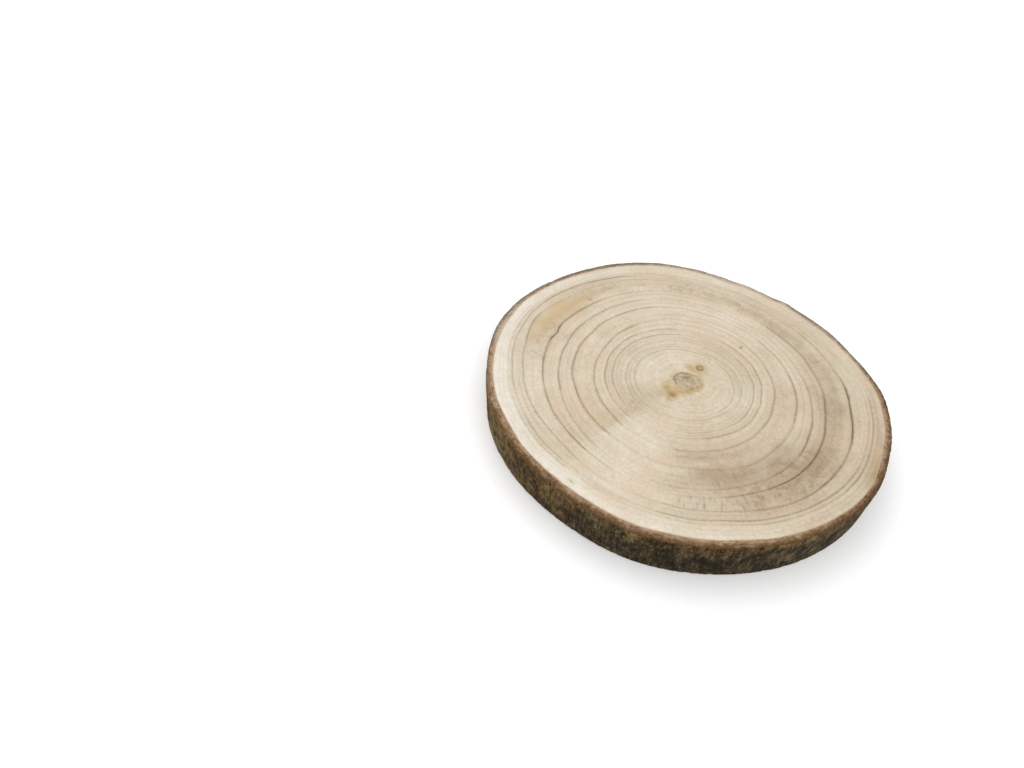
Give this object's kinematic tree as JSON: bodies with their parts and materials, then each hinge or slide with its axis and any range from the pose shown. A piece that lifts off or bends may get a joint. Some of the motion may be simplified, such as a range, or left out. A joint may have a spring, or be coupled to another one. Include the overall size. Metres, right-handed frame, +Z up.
{
  "type": "wood slice",
  "caption": "Round slice sawn across a trunk, lying flat, with its growth rings, pith and bark edge, to serve as a board, stand or table centre.",
  "frame": {"origin": "middle of the lower cut face's box, on the surface that the slice lies on", "axes": "+Z up through the slice, from the lower cut face to the upper one; +X along the longest diameter"},
  "size_m": [0.3158, 0.2863, 0.0362],
  "materials": {
    "wood": "bare sawn wood",
    "bark": "rough dry bark"
  },
  "bodies": {
    "root": {"wood_slice": "wood"}
  },
  "joints": []
}
